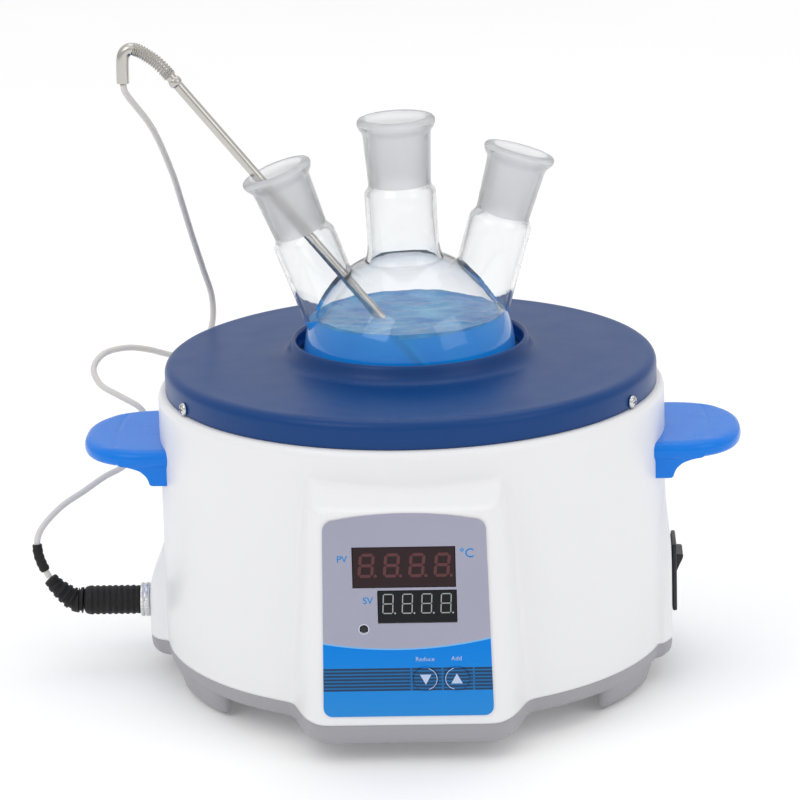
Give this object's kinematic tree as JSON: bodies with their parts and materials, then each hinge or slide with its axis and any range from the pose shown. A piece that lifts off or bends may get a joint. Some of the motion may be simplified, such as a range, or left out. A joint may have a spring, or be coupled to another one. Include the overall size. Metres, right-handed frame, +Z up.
{
  "type": "round bottom flask in heating mantle",
  "caption": "Three-neck round bottom glass flask with blue liquid and a steel temperature probe, seated in a digital electric heating mantle.",
  "frame": {"origin": "on the floor under the centre of the mantle, measured without the probe lead and its plug", "axes": "+Z up, -Y out of the control panel towards the user, +X to the user's right"},
  "size_m": [0.3601, 0.2944, 0.3249],
  "materials": {
    "flask_glass": "clear borosilicate, frosted joints",
    "blue_liquid": "clear blue liquid",
    "probe_steel": "satin",
    "plated_metal": "polished",
    "screw_metal": "plated",
    "foot_rubber": "matte",
    "navy_cover": "fine satin coat",
    "white_housing": "fine satin",
    "grey_tray": "fine satin",
    "blue_handle": "semi-gloss",
    "glass_cloth": "woven",
    "glass_wool": "fibrous",
    "element_wire": "oxidised",
    "shell_sheet": "mill",
    "panel_film": "satin film",
    "display_black": "gloss",
    "circuit_board": "solder mask",
    "black_plastic": "satin",
    "boot_rubber": "matte",
    "lead_jacket": "satin",
    "core_steel": "laminated",
    "sink_aluminium": "extruded",
    "terminal_plastic": "moulded"
  },
  "bodies": {
    "mantle": {"base_tray": "grey_tray", "control_board": "circuit_board", "control_panel": "panel_film", "cover_screw_1": "screw_metal", "cover_screw_2": "screw_metal", "cover_screw_3": "screw_metal", "cover_screw_4": "screw_metal", "down_key_switch": "black_plastic", "fuse_holder": "black_plastic", "handle_left": "blue_handle", "handle_left_screw_1": "screw_metal", "handle_left_screw_2": "screw_metal", "handle_right": "blue_handle", "handle_right_screw_1": "screw_metal", "handle_right_screw_2": "screw_metal", "heat_sink": "sink_aluminium", "heating_bowl": "glass_cloth", "heating_element": "element_wire", "housing": "white_housing", "inner_shell": "shell_sheet", "insulation": "glass_wool", "lead_lower": "lead_jacket", "lead_sleeve": "boot_rubber", "mains_inlet": "black_plastic", "plug_boot": "boot_rubber", "plug_ring": "plated_metal", "pv_display": "display_black", "rubber_foot_1": "foot_rubber", "rubber_foot_2": "foot_rubber", "rubber_foot_3": "foot_rubber", "rubber_foot_4": "foot_rubber", "sensor_plug": "black_plastic", "sensor_socket": "plated_metal", "socket_nut": "plated_metal", "status_led": "display_black", "sv_display": "display_black", "switch_bezel": "black_plastic", "terminal_block": "terminal_plastic", "top_cover": "navy_cover", "transformer": "core_steel", "tray_screw_1": "screw_metal", "tray_screw_2": "screw_metal", "tray_screw_3": "screw_metal", "tray_screw_4": "screw_metal", "triac": "black_plastic", "up_key_switch": "black_plastic"},
    "flask": {"flask": "flask_glass", "liquid": "blue_liquid", "lead_upper": "lead_jacket"},
    "probe": {"probe_shaft": "probe_steel", "probe_spring": "probe_steel", "probe_elbow": "probe_steel"},
    "rocker": {"rocker": "black_plastic"},
    "down_key": {"down_key": "panel_film"},
    "up_key": {"up_key": "panel_film"}
  },
  "joints": [
    {"name": "flask_lift", "type": "slide", "parent": "mantle", "child": "flask", "axis": [0, 0, 1], "range_m": [0, 0.08]},
    {"name": "probe_slide", "type": "slide", "parent": "flask", "child": "probe", "axis": [-0.6242, -0.022, 0.7809], "range_m": [0, 0.12]},
    {"name": "power_rocker", "type": "hinge", "parent": "mantle", "child": "rocker", "pos_m": [0.1226, -0.005, 0.0485], "axis": [0, -1, 0], "range_deg": [0, 20]},
    {"name": "down_key_press", "type": "slide", "parent": "mantle", "child": "down_key", "axis": [0, 1, 0], "range_m": [0, 0.0006], "stiffness_N_per_m": 400},
    {"name": "up_key_press", "type": "slide", "parent": "mantle", "child": "up_key", "axis": [0, 1, 0], "range_m": [0, 0.0006], "stiffness_N_per_m": 400}
  ]
}
